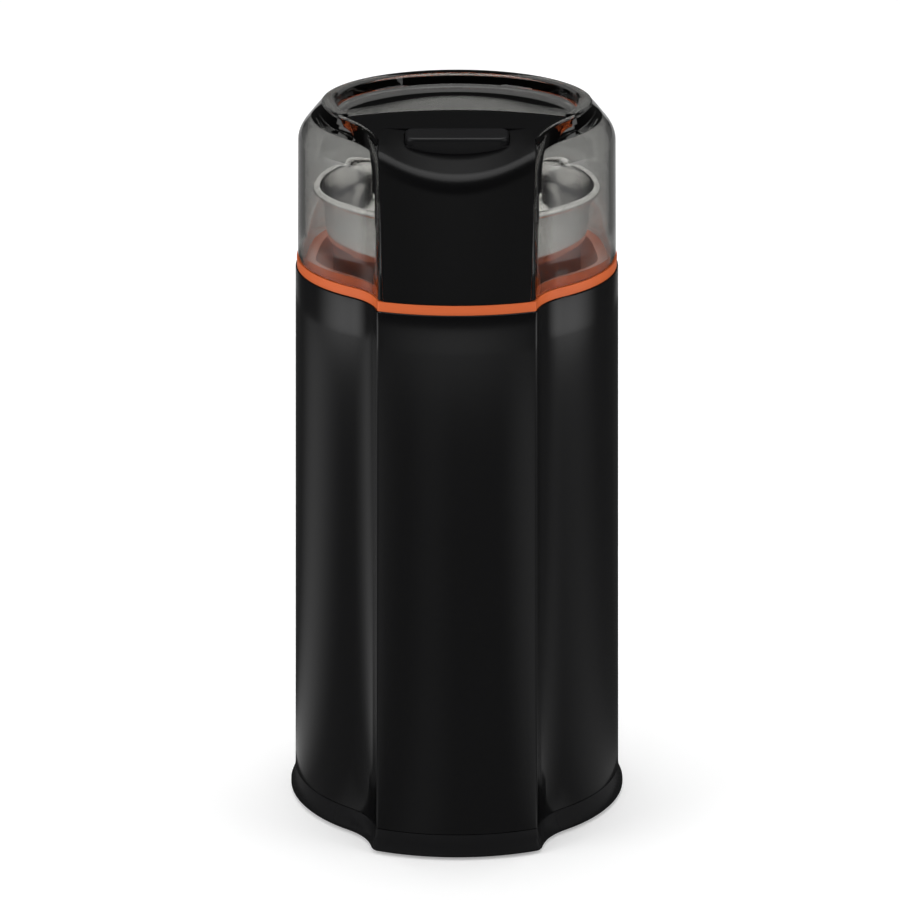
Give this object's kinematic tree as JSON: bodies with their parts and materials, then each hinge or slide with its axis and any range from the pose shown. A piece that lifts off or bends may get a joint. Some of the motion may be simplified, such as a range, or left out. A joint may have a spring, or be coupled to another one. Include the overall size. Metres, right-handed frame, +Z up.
{
  "type": "electric spice grinder",
  "caption": "Upright electric spice and coffee grinder: black fluted motor casing with an orange collar, lift-out steel bowl with a spinning blade, and a clear smoked lid with a push button.",
  "frame": {"origin": "on the spindle axis, in the plane that the anti-slip ring stands on", "axes": "+Z up along the spindle, -Y towards the front with the push button, +X to the right seen from the front"},
  "size_m": [0.1156, 0.1254, 0.244],
  "materials": {
    "casing_black": "glossy black plastic",
    "base_black": "glossy black plastic",
    "panel_black": "glossy black plastic",
    "button_black": "satin black plastic",
    "inner_black": "satin black plastic",
    "deck_orange": "satin orange plastic",
    "lid_smoke": "clear smoke-grey plastic",
    "bowl_steel": "brushed stainless steel",
    "blade_steel": "ground stainless steel",
    "shaft_steel": "ground steel",
    "zinc_steel": "zinc-plated steel",
    "bracket_steel": "zinc-plated sheet steel",
    "lamination_steel": "bare electrical steel",
    "copper": "enamelled copper wire",
    "bronze": "sintered bronze",
    "brush_brass": "drawn brass",
    "carbon": "pressed carbon",
    "fan_nylon": "natural nylon",
    "coupler_nylon": "black nylon",
    "foot_rubber": "soft rubber",
    "mount_rubber": "soft rubber",
    "gland_rubber": "soft PVC",
    "spring_steel": "drawn spring wire",
    "switch_phenolic": "moulded phenolic",
    "block_nylon": "natural nylon",
    "capacitor_film": "yellow film capacitor"
  },
  "bodies": {
    "housing": {"body_shell": "casing_black", "inlet_plate": "casing_black", "base_cover": "base_black", "base_screws": "zinc_steel", "anti_slip_ring": "foot_rubber", "cord_gland": "gland_rubber", "terminal_block": "block_nylon", "suppressor_capacitor": "capacitor_film", "collar_deck": "deck_orange", "deck_screws": "zinc_steel", "micro_switch": "switch_phenolic", "switch_terminals": "brush_brass", "switch_screws": "zinc_steel", "upper_bracket": "bracket_steel", "upper_bearing": "bronze", "lower_bracket": "inner_black", "lower_bearing": "bronze", "motor_bolts": "zinc_steel", "rubber_mounts": "mount_rubber", "mount_screws": "zinc_steel", "stator_core": "lamination_steel", "field_coils": "copper", "brush_holders": "brush_brass", "carbon_brushes": "carbon", "brush_springs": "spring_steel", "plunger_spring": "spring_steel"},
    "rotor": {"motor_shaft": "shaft_steel", "rotor_core": "lamination_steel", "rotor_windings": "copper", "commutator": "copper", "cooling_fan": "fan_nylon", "drive_coupler": "coupler_nylon"},
    "bowl": {"grinding_bowl": "bowl_steel", "bowl_foot": "inner_black", "blade_bush": "bronze"},
    "blade": {"blade_shaft": "shaft_steel", "driven_coupler": "coupler_nylon", "thrust_washers": "shaft_steel", "blade": "blade_steel", "blade_nut": "blade_steel"},
    "lid": {"lid_shell": "lid_smoke", "lid_front_panel": "panel_black", "button_housing": "inner_black", "panel_screws": "zinc_steel", "button_springs": "spring_steel"},
    "button": {"push_button": "button_black", "actuator_rod": "inner_black"},
    "plunger": {"switch_plunger": "inner_black", "switch_pin": "inner_black"}
  },
  "joints": [
    {"name": "motor_spin", "type": "hinge", "parent": "housing", "child": "rotor", "pos_m": [0, 0, 0.12], "axis": [0, 0, 1], "continuous": true},
    {"name": "bowl_lift", "type": "slide", "parent": "housing", "child": "bowl", "axis": [0, 0, 1], "range_m": [0, 0.07]},
    {"name": "blade_spin", "type": "hinge", "parent": "bowl", "child": "blade", "pos_m": [0, 0, 0.18], "axis": [0, 0, 1], "continuous": true},
    {"name": "lid_lift", "type": "slide", "parent": "bowl", "child": "lid", "axis": [0, 0, 1], "range_m": [0, 0.07]},
    {"name": "button_press", "type": "slide", "parent": "lid", "child": "button", "axis": [0, 0, -1], "range_m": [0, 0.0025], "stiffness_N_per_m": 400, "springref_m": -0.005, "deforming": ["button_springs"]},
    {"name": "plunger_press", "type": "slide", "parent": "housing", "child": "plunger", "axis": [0, 0, -1], "range_m": [0, 0.0025], "stiffness_N_per_m": 200, "springref_m": -0.005, "deforming": ["plunger_spring"]}
  ],
  "couplings": [
    {"joint": "blade_spin", "follows": "motor_spin", "ratio": 1},
    {"joint": "plunger_press", "follows": "button_press", "ratio": 1}
  ]
}
